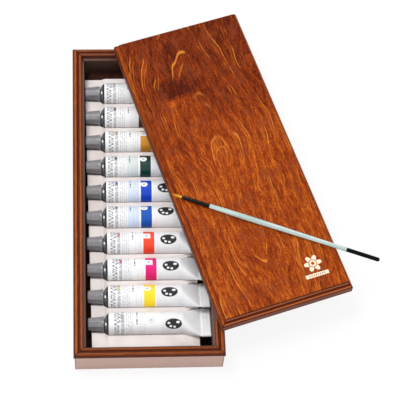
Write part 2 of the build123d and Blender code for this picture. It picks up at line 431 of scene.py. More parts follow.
@dataclass(frozen=True)
class Rosette:
    """A plain rosette over a bar with a row of marks, printed near a corner of the lid.

    The bar and the row are given by half their length and by their lower and upper edges.
    """

    place: tuple[float, float] = (32.0, -117.0)
    middle: float = 1.6
    petals: int = 6
    petal_root: float = 3.4
    petal_length: float = 4.4
    eye: tuple[float, float] = (1.3, 1.7)
    groove: tuple[float, float] = (3.0, 3.7)
    bar: tuple[float, float, float] = (10.2, -10.9, -7.5)
    row: tuple[float, float, float] = (7.9, -9.9, -8.5)
    mark_pitch: float = 0.95
    mark_strength: float = 0.85
    strength: float = 0.93

    def strip(self, graph: Graph, spot: tuple[Socket, Socket], sizes: tuple[float, float, float],
              soft: float) -> Socket:
        """A level strip.

        Args:
            graph: The material's graph.
            spot: The place, from the rosette's own.
            sizes: Half the strip's length, then its lower and upper edges.
            soft: How wide its edges are.

        Returns:
            The strip, 0 to 1.
        """
        half, low, high = sizes
        right, up = spot
        return graph.product(graph.span(right, -half, half, soft), graph.span(up, low, high, soft))

    def mask(self, graph: Graph, x: Socket, y: Socket) -> Socket:
        """Draw the print.

        Args:
            graph: The material's graph.
            x: Distance across the lid.
            y: Distance along it.

        Returns:
            The print, 0 to its strength.
        """
        right = graph.total(x, -self.place[0])
        up = graph.total(y, -self.place[1])
        rise = graph.total(up, -self.middle)
        off = graph.distance(right, rise)
        turn = graph.math("ARCTAN2", rise, right)
        petal = graph.math("ABSOLUTE", graph.math("COSINE", graph.product(turn, self.petals / 2)))
        edge = graph.total(graph.product(petal, self.petal_length), self.petal_root)
        flower = graph.ease(graph.minus(edge, off), -0.25, 0.25)
        groove = graph.opposite(graph.span(off, *self.groove, 0.3))
        cell = graph.math("PINGPONG", graph.total(right, 20.0), self.mark_pitch)
        row = self.strip(graph, (right, up), self.row, 0.2)
        marks = graph.product(graph.ease(cell, 0.35, 0.55, 1.0, 0.0), row, self.mark_strength)
        rosette = graph.product(flower, graph.ease(off, *self.eye), groove)
        bar = graph.minus(self.strip(graph, (right, up), self.bar, 0.4), marks)
        return graph.product(graph.math("MAXIMUM", rosette, bar), self.strength)


@dataclass(frozen=True)
class Knot:
    """A dark, cloudy patch of a board with a lighter, sharp-edged zone below it."""

    place: tuple[float, float]
    half_width: float = 20.0
    ragged: float = 9.0
    dark: float = 0.30
    lit: float = 0.20

    def shade(self, graph: Graph, x: Socket, y: Socket) -> Socket:
        """Shade the patch.

        Args:
            graph: The material's graph.
            x: Distance across the lid.
            y: Distance along it.

        Returns:
            What it adds to the board's shade.
        """
        right = graph.product(graph.total(x, -self.place[0]), 1.0 / self.half_width)
        cloud = graph.noise(graph.vector(x, y, 2.0), 0.09, 3.0)
        up = graph.total(y, -self.place[1], graph.product(graph.minus(cloud, 0.5), self.ragged))
        side = graph.ease(graph.math("ABSOLUTE", right), 0.45, 1.0, 1.0, 0.0)
        dark = graph.product(graph.ease(up, -6.5, -4.5), graph.ease(up, -4.0, 22.0, 1.0, 0.0))
        lit = graph.product(graph.ease(up, -9.5, -7.5, 1.0, 0.0), graph.ease(up, -34.0, -9.0))
        return graph.minus(graph.product(side, lit, self.lit), graph.product(side, dark, self.dark))


@dataclass(frozen=True)
class StainedWood:
    """Birch ply and rails, stained reddish brown under a satin varnish."""

    name: str
    place: Place = Place()
    axis: GrainAxis = GrainAxis.ALONG
    figure: Figure = Figure.STRAIGHT
    heart: tuple[float, float] = (0.0, 0.0)
    mitre: Optional[tuple[float, float]] = None
    ornament: Optional[Rosette] = None
    knot: Optional[Knot] = None
    bands: tuple[Band, ...] = ()
    tone: float = 0.0
    dark: Colour = (0.070, 0.007, 0.0004)
    body: Colour = (0.290, 0.042, 0.0035)
    light: Colour = (0.600, 0.150, 0.013)
    plum: Colour = (0.230, 0.046, 0.014)
    flame: Colour = (0.800, 0.280, 0.035)
    cream: Colour = (0.900, 0.800, 0.610)
    wander: float = 34.0
    ring_spacing: float = 9.0
    heart_depth: float = 9.0
    ring_share: float = 0.14
    fleck_share: float = 0.42
    pore_share: float = 0.24
    fibre_share: float = 0.26
    blotch_share: float = 0.50
    base_shade: float = -0.34
    far_end_shade: float = -0.29
    near_end_shade: float = 0.03
    bloom_strength: float = 0.45
    line_strength: float = 0.68
    joint_strength: float = 0.85
    joint_width: tuple[float, float] = (0.20, 0.85)
    fade_length: float = 100.0
    warp_scale: tuple[float, float] = (0.024, 0.009)
    break_scale: tuple[float, float] = (0.05, 0.025)
    fleck_scale: tuple[float, float] = (0.75, 0.10)
    pore_scale: tuple[float, float] = (1.1, 0.45)
    fibre_scale: tuple[float, float] = (2.6, 0.30)
    blotch_scale: tuple[float, float] = (0.03, 0.018)
    bloom_scale: tuple[float, float] = (0.10, 0.06)
    roughness: float = 0.45
    gloss: float = 0.06
    relief: float = 0.06

    def flow(self, graph: Graph, along: Socket, across: Socket) -> Socket:
        """Distance across the grain, bent the way the grain wanders.

        Args:
            graph: The material's graph.
            along: Distance along the grain.
            across: Distance across it.

        Returns:
            The bent distance.
        """
        warp = graph.grain(across, along, self.warp_scale, self.tone)
        return graph.total(across, graph.product(graph.minus(warp, 0.5), self.wander))

    def rings(self, graph: Graph, along: Socket, bent: Socket) -> tuple[Socket, Socket]:
        """Growth rings, each with a bright line where it ends.

        Args:
            graph: The material's graph.
            along: Distance along the grain.
            bent: Bent distance across it.

        Returns:
            The ring shade and the lines, both 0 to 1.
        """
        slope = 0.20 if self.figure is Figure.CATHEDRAL else 0.01
        off = graph.total(bent, -self.heart[0])
        depth = graph.total(graph.product(graph.total(along, -self.heart[1]), slope), self.heart_depth)
        saw = graph.math("FRACT", graph.product(graph.distance(off, depth), 1.0 / self.ring_spacing))
        ring = graph.product(graph.ease(saw, 0.0, 0.82), graph.ease(saw, 0.86, 1.0, 1.0, 0.0))
        broken = graph.ease(graph.grain(bent, along, self.break_scale, 11.0, 2.0), 0.50, 0.62)
        second = graph.product(graph.span(saw, 0.62, 0.67, 0.04), 0.5)
        thin = graph.total(graph.span(saw, 0.88, 0.94, 0.04), second)
        return ring, graph.product(thin, broken)

    def shade(self, graph: Graph, along: Socket, across: Socket) -> tuple[Socket, Socket, Socket]:
        """The board's light and dark, its bright lines and its fine grain.

        Args:
            graph: The material's graph.
            along: Distance along the grain.
            across: Distance across it.

        Returns:
            The shade, the bright lines and the fine grain, all about 0 to 1.
        """
        seed = 7.0 + self.tone * 40.0
        bent = self.flow(graph, along, across)
        ring, line = self.rings(graph, along, bent)
        fleck = graph.grain(bent, along, self.fleck_scale, seed, 4.0, 0.65)
        pore = graph.grain(across, along, self.pore_scale, seed, 3.0, 0.6)
        fibre = graph.grain(across, along, self.fibre_scale, seed)
        blotch = graph.grain(across, along, self.blotch_scale, seed)
        shade = graph.total(
            graph.product(ring, self.ring_share),
            graph.product(graph.ease(fleck, 0.32, 0.68), self.fleck_share),
            graph.product(graph.ease(pore, 0.34, 0.66), self.pore_share),
            graph.product(fibre, self.fibre_share),
            graph.product(blotch, self.blotch_share),
            self.tone + self.base_shade,
        )
        return shade, line, fibre

    def striped(self, graph: Graph, colour: Socket, spot: tuple[Socket, Socket, Socket],
                fibre: Socket) -> Socket:
        """Add the stripes of painted light and shade.

        Args:
            graph: The material's graph.
            colour: The wood's colour.
            spot: The place in the piece's frame.
            fibre: The fine grain.

        Returns:
            The colour with the stripes.
        """
        x, y, z = spot
        if self.mitre:
            flat, half = (x, self.mitre[0]) if self.axis is GrainAxis.ALONG else (y, self.mitre[1])
            inset = graph.minus(half, graph.math("ABSOLUTE", flat))
        for band in self.bands:
            far = z if band.by is Measure.HEIGHT else inset
            stripe = graph.product(graph.span(far, band.low, band.high, 0.25), band.amount,
                                   graph.ease(z, band.above - 0.2, band.above + 0.2))
            grain = graph.ease(fibre, 0.25, 0.75, 0.80, 1.12)
            tint = graph.mix(grain, tuple(number * 0.2 for number in band.tint), band.tint)
            colour = graph.mix(stripe, colour, tint)
        return colour

    def jointed(self, graph: Graph, colour: Socket, x: Socket, y: Socket) -> Socket:
        """Add the dark line of the mitre joints.

        Args:
            graph: The material's graph.
            colour: The rail's colour.
            x: Distance across the frame.
            y: Distance along it.

        Returns:
            The colour with the joints.
        """
        flat_x = graph.total(graph.math("ABSOLUTE", x), -self.mitre[0])
        flat_y = graph.total(graph.math("ABSOLUTE", y), -self.mitre[1])
        off = graph.math("ABSOLUTE", graph.minus(flat_x, flat_y))
        joint = graph.ease(off, *self.joint_width, self.joint_strength, 0.0)
        return graph.mix(joint, colour, tuple(number * 0.35 for number in self.dark))

    def material(self) -> bpy.types.Material:
        """Build the finish.

        Returns:
            The material.
        """
        material, graph = new_material(self.name)
        x, y, z = graph.local(self.place)
        along, across = (y, x) if self.axis is GrainAxis.ALONG else (x, y)
        if self.mitre:
            across = graph.total(across, z)
        shade, line, fibre = self.shade(graph, along, across)
        if self.knot:
            fade = graph.ease(y, 0.0, self.fade_length, self.near_end_shade, self.far_end_shade)
            shade = graph.total(shade, self.knot.shade(graph, x, y), fade)
        middle = tuple((a + b) / 2 for a, b in zip(self.dark, self.body))
        stops = [(0.0, self.dark), (0.27, middle), (0.50, self.body), (0.92, self.light)]
        bloom = graph.grain(across, along, self.bloom_scale, 31.0)
        bloom = graph.ease(bloom, 0.50, 0.70, 0.0, self.bloom_strength)
        colour = graph.mix(bloom, graph.ramp(shade, stops), self.plum)
        colour = graph.mix(graph.product(line, self.line_strength), colour, self.flame)
        colour = self.striped(graph, colour, (x, y, z), fibre)
        if self.mitre:
            colour = self.jointed(graph, colour, x, y)
        if self.ornament:
            colour = graph.mix(self.ornament.mask(graph, x, y), colour, self.cream)
        rough = graph.total(graph.product(fibre, 0.22), self.roughness - 0.09)
        graph.surface(colour, rough, fibre, self.relief, Specular_IOR_Level=self.gloss)
        return material


@dataclass(frozen=True)
class FormedPlastic:
    """Off-white sheet, formed hot, with a faint mottle."""

    name: str = "formed_plastic"
    colour: Colour = (0.780, 0.710, 0.680)
    shade: Colour = (0.690, 0.620, 0.595)
    roughness: float = 0.34
    gloss: float = 0.5
    relief: float = 0.03

    def material(self) -> bpy.types.Material:
        """Build the finish.

        Returns:
            The material.
        """
        material, graph = new_material(self.name)
        x, y, z = graph.local(Place())
        spot = graph.vector(x, y, z)
        mottle = graph.noise(spot, 0.06, 4.0)
        grit = graph.noise(spot, 1.6, 2.0)
        colour = graph.mix(graph.ease(mottle, 0.35, 0.7), self.colour, self.shade)
        rough = graph.total(graph.product(grit, 0.2), self.roughness)
        graph.surface(colour, rough, grit, self.relief, Specular_IOR_Level=self.gloss)
        return material


@dataclass(frozen=True)
class MouldedPlastic:
    """Grey cap plastic with a fine sheen and scuffs."""

    name: str = "cap_plastic"
    colour: Colour = (0.170, 0.163, 0.172)
    scuff: Colour = (0.300, 0.290, 0.305)
    roughness: float = 0.30
    gloss: float = 0.6
    relief: float = 0.02

    def material(self) -> bpy.types.Material:
        """Build the finish.

        Returns:
            The material.
        """
        material, graph = new_material(self.name)
        x, y, z = graph.local(Place())
        wear = graph.noise(graph.vector(graph.product(x, 0.6), y, z), 0.5, 4.0, 0.7)
        grit = graph.noise(graph.vector(x, y, z), 5.0, 2.0)
        colour = graph.mix(graph.ease(wear, 0.5, 0.8), self.colour, self.scuff)
        rough = graph.total(graph.product(wear, 0.2), self.roughness - 0.08)
        graph.surface(colour, rough, grit, self.relief, Specular_IOR_Level=self.gloss)
        return material


@dataclass(frozen=True)
class FerruleCoat:
    """Black coat on the ferrule, with a faint brushed grain."""

    name: str = "black_ferrule"
    colour: Colour = (0.002, 0.002, 0.0025)
    tint: Colour = (0.007, 0.007, 0.008)
    roughness: float = 0.24
    gloss: float = 0.12
    relief: float = 0.015

    def material(self) -> bpy.types.Material:
        """Build the finish.

        Returns:
            The material.
        """
        material, graph = new_material(self.name)
        x, y, z = graph.local(Place())
        brushed = graph.noise(graph.vector(graph.product(x, 0.4), y, z), 2.5, 3.0)
        colour = graph.mix(graph.ease(brushed, 0.35, 0.75), self.colour, self.tint)
        rough = graph.total(graph.product(brushed, 0.16), self.roughness - 0.06)
        graph.surface(colour, rough, brushed, self.relief, Specular_IOR_Level=self.gloss)
        return material


@dataclass(frozen=True)
class Gouache:
    """Soft, matt paint."""

    name: str
    colour: Colour
    roughness: float = 0.55
    relief: float = 0.1

    def material(self) -> bpy.types.Material:
        """Build the finish.

        Returns:
            The material.
        """
        material, graph = new_material(self.name)
        x, y, z = graph.local(Place())
        swirl = graph.noise(graph.vector(x, y, z), 0.3, 3.0)
        deep = tuple(number * 0.8 for number in self.colour)
        graph.surface(graph.mix(swirl, self.colour, deep), self.roughness, swirl, self.relief)
        return material


@dataclass(frozen=True)
class Rule:
    """A line of broken strokes round a tube: its place and width, each stroke's degrees."""

    at: float
    width: float
    cell: float
    strength: float
    gap_share: float = 0.34
    soft: float = 0.16

    def mask(self, graph: Graph, along: Socket, around: Socket) -> Socket:
        """Draw the line.

        Args:
            graph: The material's graph.
            along: Distance from the label's start.
            around: Angle round the tube, in degrees.

        Returns:
            The line, 0 to 1.
        """
        steps = graph.math("FLOOR", graph.product(around, 1.0 / self.cell))
        inputs = {"W": graph.total(steps, self.at * 3.7)}
        random = graph.add("ShaderNodeTexWhiteNoise", inputs, noise_dimensions="1D")
        present = graph.math("GREATER_THAN", random.outputs["Value"], self.gap_share)
        low, high = self.at - self.width / 2, self.at + self.width / 2
        return graph.product(graph.span(along, low, high, self.soft), present)


@dataclass(frozen=True)
class Braid:
    """Two curling lines round a tube: their middle, their swing and one curl's degrees."""

    at: float
    swing: float
    period: float
    strength: float
    thickness: tuple[float, float] = (0.34, 0.62)
    curls: tuple[tuple[float, float], ...] = ((0.0, 1.0), (1.9, 1.37))

    def mask(self, graph: Graph, along: Socket, around: Socket) -> Socket:
        """Draw the braid, now and then broken.

        Args:
            graph: The material's graph.
            along: Distance from the label's start.
            around: Angle round the tube, in degrees.

        Returns:
            The braid, 0 to 1.
        """
        lines = []
        for phase, pace in self.curls:
            turn = graph.total(graph.product(around, 2 * math.pi * pace / self.period), phase)
            wave = graph.product(graph.math("SINE", turn), self.swing)
            off = graph.math("ABSOLUTE", graph.minus(graph.total(along, -self.at), wave))
            lines.append(graph.ease(off, *self.thickness, 1.0, 0.0))
        spot = graph.vector(graph.product(around, 0.11), self.at, 2.0)
        breaks = graph.ease(graph.noise(spot, 1.0, 1.0), 0.34, 0.42)
        return graph.product(graph.math("MAXIMUM", *lines), breaks)


@dataclass(frozen=True)
class Palette:
    """A small painter's palette shape with a thumb hole and dabs, each an ellipse."""

    at: float = 51.5
    angle: float = 186.0
    half_length: float = 7.0
    half_width: float = 4.6
    radius: float = 9.6
    holes: tuple[tuple[float, float, float, float], ...] = (
        (3.7, -1.4, 1.6, 1.1), (-4.0, -0.7, 1.2, 0.9), (-2.4, 2.0, 1.2, 0.9), (0.8, 2.6, 1.2, 0.9))

    def mask(self, graph: Graph, along: Socket, around: Socket) -> Socket:
        """Draw the shape.

        Args:
            graph: The material's graph.
            along: Distance from the label's start.
            around: Angle round the tube, in degrees.

        Returns:
            The shape, 0 to 1.
        """
        right = graph.total(along, -self.at)
        up = graph.product(graph.total(around, -self.angle), math.radians(self.radius))

        def disc(x: float, y: float, wide: float, high: float) -> Socket:
            """A soft-edged ellipse.

            Args:
                x: Its middle along the tube.
                y: Its middle round the tube.
                wide: Its half width.
                high: Its half height.

            Returns:
                The ellipse, 0 to 1.
            """
            dx = graph.product(graph.total(right, -x), 1.0 / wide)
            dy = graph.product(graph.total(up, -y), 1.0 / high)
            return graph.ease(graph.distance(dx, dy), 0.94, 1.06, 1.0, 0.0)

        shape = disc(0.0, 0.0, self.half_length, self.half_width)
        for hole in self.holes:
            shape = graph.product(shape, graph.opposite(disc(*hole)))
        return shape


@dataclass(frozen=True)
class PrintedEnamel:
    """White enamel with the tube's generic print: rules, braids, a band, a badge and a palette.

    The piece's UV map holds the way along the tube and the way round it. Places on the print
    are distances from the label's start, in millimetres, and angles round the tube.
    """

    name: str
    length: float
    label_start: float
    band: Optional[Colour] = None
    panel: Optional[Colour] = None
    turn: float = 0.0
    slide: float = 0.0
    square: bool = False
    white: Colour = (0.830, 0.830, 0.845)
    back: Colour = (0.690, 0.690, 0.705)
    ink: Colour = (0.008, 0.008, 0.010)
    grey: Colour = (0.130, 0.128, 0.145)
    metal: Colour = (0.150, 0.146, 0.155)
    shadow: Colour = (0.030, 0.028, 0.032)
    glint: Colour = (0.95, 0.95, 0.95)
    glint_back: float = 2.5
    glint_angle: float = 204.0
    glint_half: tuple[float, float] = (0.8, 13.0)
    panel_start: float = 18.6
    panel_end: float = 28.2
    band_start: float = 30.0
    band_end: float = 39.4
    label_end: float = 40.8
    badge_in: float = 2.9
    badge_angle: float = 165.0
    badge_half: tuple[float, float] = (3.1, 16.0)
    dot: tuple[float, float] = (8.0, 10.0)
    dot_arc: tuple[float, float] = (152.0, 166.0)
    rules: tuple[Rule, ...] = (
        Rule(12.4, 0.75, 3.1, 0.42), Rule(14.1, 0.75, 3.1, 0.46), Rule(15.8, 0.75, 3.1, 0.42),
        Rule(17.5, 0.75, 3.1, 0.38), Rule(23.6, 0.55, 2.3, 0.28), Rule(25.7, 0.55, 2.3, 0.28),
        Rule(27.6, 0.55, 2.3, 0.28))
    bold_rule: Rule = Rule(20.9, 1.2, 4.3, 0.75)
    bold_rule_arc: tuple[float, float] = (90.0, 187.0)
    braids: tuple[Braid, ...] = (Braid(4.0, 1.7, 24.0, 0.95), Braid(9.0, 1.0, 13.0, 0.75))
    bold_braid: Braid = Braid(7.8, 1.7, 19.0, 0.90)
    bold_braid_arc: tuple[float, float] = (128.0, 176.0)
    mottle_scale: tuple[float, float] = (0.12, 0.02)
    roughness: float = 0.30
    gloss: float = 0.25
    relief: float = 0.25

    def lines(self, graph: Graph, colour: Socket, along: Socket, around: Socket) -> Socket:
        """Add the rules and the braids.

        Args:
            graph: The material's graph.
            colour: The label's colour.
            along: Distance from the label's start.
            around: Angle round the tube, in degrees.

        Returns:
            The colour with the lines.
        """
        for rule in self.rules:
            line = graph.product(rule.mask(graph, along, around), rule.strength)
            colour = graph.mix(line, colour, self.grey)
        bold = graph.product(self.bold_rule.mask(graph, along, around),
                             graph.span(around, *self.bold_rule_arc, 1.0))
        colour = graph.mix(graph.product(bold, self.bold_rule.strength), colour, self.ink)
        for braid in self.braids:
            line = graph.product(braid.mask(graph, along, around), braid.strength)
            colour = graph.mix(line, colour, self.grey)
        bold = graph.product(self.bold_braid.mask(graph, along, around),
                             graph.span(around, *self.bold_braid_arc, 3.0))
        return graph.mix(graph.product(bold, self.bold_braid.strength), colour, self.ink)

    def badge(self, graph: Graph, colour: Socket, along: Socket, around: Socket) -> Socket:
        """Add the white badge with its rim and its small mark.

        Args:
            graph: The material's graph.
            colour: The label's colour.
            along: Distance from the label's start.
            around: Angle round the tube, in degrees.

        Returns:
            The colour with the badge.
        """
        wide, high = self.badge_half
        right = graph.product(graph.total(along, -self.band_start - self.badge_in), 1.0 / wide)
        up = graph.product(graph.total(around, -self.badge_angle), 1.0 / high)
        if self.square:
            reach = graph.math("MAXIMUM", graph.math("ABSOLUTE", right), graph.math("ABSOLUTE", up))
        else:
            reach = graph.distance(right, up)
        colour = graph.mix(graph.ease(reach, 0.97, 1.05, 1.0, 0.0), colour, self.white)
        if not self.band:
            colour = graph.mix(graph.product(graph.span(reach, 0.84, 0.93, 0.05), 0.8), colour, self.grey)
        mark = graph.product(graph.span(right, -0.35, 0.35, 0.1), graph.span(up, -0.3, 0.3, 0.1))
        return graph.mix(graph.product(mark, 0.55), colour, self.grey)

    def shoulder(self, graph: Graph, colour: Socket, along: Socket, around: Socket) -> Socket:
        """Add bare metal on the shoulder, with painted shade by the label and a painted highlight spot.

        Args:
            graph: The material's graph.
            colour: The label's colour.
            along: Distance from the label's start.
            around: Angle round the tube, in degrees.

        Returns:
            The colour with the shoulder added.
        """
        # Painted shade: the metal darkens towards the label's edge. Painted highlight: a bright spot on the
        # shoulder.
        swing = graph.product(graph.math("SINE", graph.product(around, math.radians(6.0))), 0.7)
        metal_and_shade = graph.mix(graph.ease(graph.total(along, swing), -2.4, -1.2), self.metal, self.shadow)
        wide, high = self.glint_half
        up = graph.product(graph.total(around, -self.glint_angle), 1.0 / high)
        right = graph.product(graph.total(along, self.glint_back), 1.0 / wide)
        glint = graph.ease(graph.distance(up, right), 0.7, 1.1, 1.0, 0.0)
        return graph.mix(graph.ease(along, -0.20, -0.05), graph.mix(glint, metal_and_shade, self.glint), colour)

    def material(self) -> bpy.types.Material:
        """Build the finish.

        Returns:
            The material.
        """
        material, graph = new_material(self.name)
        way, round_tube, _ = graph.split(graph.add("ShaderNodeUVMap", uv_map="UVMap").outputs[0])
        start = graph.total(graph.product(way, self.length), -self.label_start)
        angle = graph.product(round_tube, 360.0)
        along = graph.total(start, -self.slide)
        around = graph.total(angle, self.turn)
        mottle = graph.grain(along, around, self.mottle_scale, 3.0)
        back = graph.mix(mottle, self.back, self.white)
        colour = graph.mix(graph.ease(along, self.label_end - 0.2, self.label_end + 0.2), self.white, back)
        if self.panel:
            panel = graph.product(graph.span(along, self.panel_start, self.panel_end, 0.2), 0.8)
            colour = graph.mix(panel, colour, self.panel)
        colour = self.lines(graph, colour, along, around)
        if self.band:
            colour = graph.mix(graph.span(along, self.band_start, self.band_end, 0.12), colour, self.band)
            dot = graph.product(graph.span(along, *self.dot, 0.3), graph.span(around, *self.dot_arc, 2.0))
            colour = graph.mix(dot, colour, self.band)
        colour = self.badge(graph, colour, along, around)
        colour = graph.mix(Palette().mask(graph, along, around), colour, self.ink)
        colour = self.shoulder(graph, colour, start, angle)
        rough = graph.total(graph.product(mottle, 0.12), self.roughness)
        graph.surface(colour, rough, mottle, self.relief, Specular_IOR_Level=self.gloss)
        return material


@dataclass(frozen=True)
class HandleLacquer:
    """Pale green lacquer on the brush's handle, black at its end."""

    place: Place
    change: float
    name: str = "handle_lacquer"
    green: Colour = (0.440, 0.560, 0.530)
    pale: Colour = (0.600, 0.700, 0.680)
    black: Colour = (0.003, 0.003, 0.0035)
    marks_start: float = 62.0
    marks_end: float = 92.0
    marks_share: float = 0.60
    marks_strength: float = 0.35
    roughness: float = 0.28
    gloss: float = 0.06
    relief: float = 0.01

    def material(self) -> bpy.types.Material:
        """Build the finish.

        Returns:
            The material.
        """
        material, graph = new_material(self.name)
        x, y, z = graph.local(self.place)
        cloud = graph.noise(graph.vector(graph.product(x, 0.05), y, z), 0.7, 3.0)
        speck = graph.noise(graph.vector(x, y, z), 3.0, 2.0)
        colour = graph.mix(graph.ease(cloud, 0.4, 0.65), self.green, self.pale)
        marks = graph.product(graph.span(x, self.marks_start, self.marks_end, 0.4),
                              graph.math("GREATER_THAN", speck, self.marks_share))
        colour = graph.mix(graph.product(marks, self.marks_strength), colour, self.black)
        colour = graph.mix(graph.ease(x, self.change - 0.1, self.change + 0.1), colour, self.black)
        graph.surface(colour, self.roughness, speck, self.relief, Specular_IOR_Level=self.gloss)
        return material


@dataclass(frozen=True)
class GoldenHair:
    """Golden-brown brush hair, darker in places along each hair."""

    place: Place
    name: str = "golden_hair"
    root: Colour = (0.950, 0.480, 0.020)
    tip: Colour = (0.700, 0.260, 0.020)
    root_length: float = 6.0
    streaks: float = 0.5
    roughness: float = 0.45
    gloss: float = 0.3
    relief: float = 0.01

    def material(self) -> bpy.types.Material:
        """Build the finish.

        Returns:
            The material.
        """
        material, graph = new_material(self.name)
        x, y, z = graph.local(self.place)
        strand = graph.noise(graph.vector(graph.product(x, 0.15), y, z), 6.0, 2.0)
        colour = graph.mix(graph.ease(x, 0.0, self.root_length, 1.0, 0.0), self.root, self.tip)
        colour = graph.mix(graph.product(strand, self.streaks), colour, self.tip)
        graph.surface(colour, self.roughness, strand, self.relief, Specular_IOR_Level=self.gloss)
        return material


def report(piece: bpy.types.Object) -> bpy.types.Object:
    """Log a finished piece.

    Args:
        piece: The piece.

    Returns:
        The same piece.
    """
    LOG.info("%s: %d faces", piece.name, len(piece.data.polygons))
    return piece


def dress_node(node: str, material: bpy.types.Material) -> bpy.types.Object:
    """Give a CAD node its finish.

    Args:
        node: The node's name.
        material: The finish.

    Returns:
        The node's object.
    """
    piece = frame["nodes"][node]
    piece.data.materials.clear()
    piece.data.materials.append(material)
    return report(piece)


def softened_copy(node: str, name: str, radius: float, material: bpy.types.Material) -> bpy.types.Object:
    """A copy of a CAD node with its sharp edges rounded, which stands for the node.

    Args:
        node: The CAD node's name.
        name: The new piece's name.
        radius: The rounding, in millimetres.
        material: The finish.

    Returns:
        The new piece.
    """
    source = frame["nodes"][node]
    shape = bmesh.new()
    shape.from_mesh(source.data)
    bmesh.ops.remove_doubles(shape, verts=shape.verts, dist=WELD)
    bmesh.ops.dissolve_limit(shape, angle_limit=FLAT_ANGLE, verts=shape.verts, edges=shape.edges)
    mesh = bpy.data.meshes.new(name)
    shape.to_mesh(mesh)
    shape.free()
    piece = bpy.data.objects.new(name, mesh)
    bpy.context.scene.collection.objects.link(piece)
    mesh.materials.append(material)
    bevel = piece.modifiers.new("soft_edges", "BEVEL")
    bevel.width = radius * MM
    bevel.segments = 2
    bevel.limit_method = "ANGLE"
    bevel.angle_limit = CREASE_ANGLE
    bevel.harden_normals = True
    mesh.shade_smooth()
    mesh.set_sharp_from_angle(angle=CREASE_ANGLE)
    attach(piece, source["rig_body"])
    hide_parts(node)
    return report(piece)


class ShapeTree:
    """A Geometry Nodes tree with named inputs that makes one plain mesh."""

    def __init__(self, name: str, sizes: dict[str, float]) -> None:
        """Start the tree.

        Args:
            name: The tree's name.
            sizes: Its named sizes, with the value of each.
        """
        self.name = name
        self.sizes = sizes
        self.tree = bpy.data.node_groups.new(name, "GeometryNodeTree")
        self.graph = Graph(self.tree)
        interface = self.tree.interface
        interface.new_socket("Geometry", in_out="OUTPUT", socket_type="NodeSocketGeometry")
        self.identifiers = {}
        for size in sizes:
            socket = interface.new_socket(size, in_out="INPUT", socket_type="NodeSocketFloat")
            self.identifiers[size] = socket.identifier
        finish = interface.new_socket("Finish", in_out="INPUT", socket_type="NodeSocketMaterial")
        self.identifiers["Finish"] = finish.identifier
        self.inputs = self.tree.nodes.new("NodeGroupInput").outputs

    def close(self, geometry: Socket) -> None:
        """End the tree with real geometry and its finish.

        Args:
            geometry: The finished shape.
        """
        real = self.graph.add("GeometryNodeRealizeInstances", {0: geometry}).outputs[0]
        smooth = self.graph.add("GeometryNodeSetShadeSmooth", {0: real}).outputs[0]
        inputs = {"Geometry": smooth, "Material": self.inputs["Finish"]}
        dressed = self.graph.add("GeometryNodeSetMaterial", inputs).outputs[0]
        output = self.tree.nodes.new("NodeGroupOutput")
        self.graph.set(output.inputs[0], dressed)

    def make(self, name: str, finish: bpy.types.Material, place: Matrix,
             **changes: float) -> bpy.types.Object:
        """Run the tree and keep the result as a plain mesh.

        Args:
            name: The new piece's name.
            finish: Its material.
            place: Where it lies, in metres.
            **changes: Sizes that differ for this piece, with underscores for spaces.

        Returns:
            The piece.
        """
        carrier = bpy.data.objects.new(name + "_carrier", bpy.data.meshes.new(name + "_carrier"))
        bpy.context.scene.collection.objects.link(carrier)
        modifier = carrier.modifiers.new("shape", "NODES")
        modifier.node_group = self.tree
        values = dict(self.sizes)
        values.update({key.replace("_", " "): value for key, value in changes.items()})
        for size, value in values.items():
            modifier[self.identifiers[size]] = float(value)
        modifier[self.identifiers["Finish"]] = finish
        bpy.context.view_layer.update()
        evaluated = carrier.evaluated_get(bpy.context.evaluated_depsgraph_get())
        mesh = bpy.data.meshes.new_from_object(evaluated)
        bpy.data.objects.remove(carrier)
        mesh.name = name
        mesh.transform(place)
        mesh.materials.clear()
        mesh.materials.append(finish)
        piece = bpy.data.objects.new(name, mesh)
        bpy.context.scene.collection.objects.link(piece)
        return piece


def wrapped_sheet(tree: ShapeTree, rows: int, columns: int) -> tuple[Socket, Socket, Socket]:
    """A grid to wrap into a tube, with its UV map kept on its corners.

    Args:
        tree: The tree it is made in.
        rows: Points along the tube.
        columns: Points round it.

    Returns:
        The grid, the way along it and the way round it, both 0 to 1.
    """
    graph = tree.graph
    sizes = {"Size X": 1.0, "Size Y": 1.0, "Vertices X": rows, "Vertices Y": columns}
    grid = graph.add("GeometryNodeMeshGrid", sizes)
    kept = graph.add("GeometryNodeStoreNamedAttribute", None, data_type="FLOAT2", domain="CORNER")
    inputs = {"Geometry": grid.outputs["Mesh"], "Name": "UVMap", "Value": grid.outputs["UV Map"]}
    for key, value in inputs.items():
        graph.set(kept.inputs[key], value)
    x, y, _ = graph.split(graph.add("GeometryNodeInputPosition").outputs[0])
    return kept.outputs[0], graph.total(x, 0.5), graph.total(y, 0.5)


def placed(tree: ShapeTree, sheet: Socket, position: Socket) -> Socket:
    """Move a sheet's points and join its seam and poles.

    Args:
        tree: The tree.
        sheet: The sheet.
        position: Where its points go.

    Returns:
        The joined shape.
    """
    graph = tree.graph
    moved = graph.add("GeometryNodeSetPosition", {"Geometry": sheet, "Position": position}).outputs[0]
    return graph.add("GeometryNodeMergeByDistance", {"Geometry": moved, "Distance": SEAM}).outputs[0]


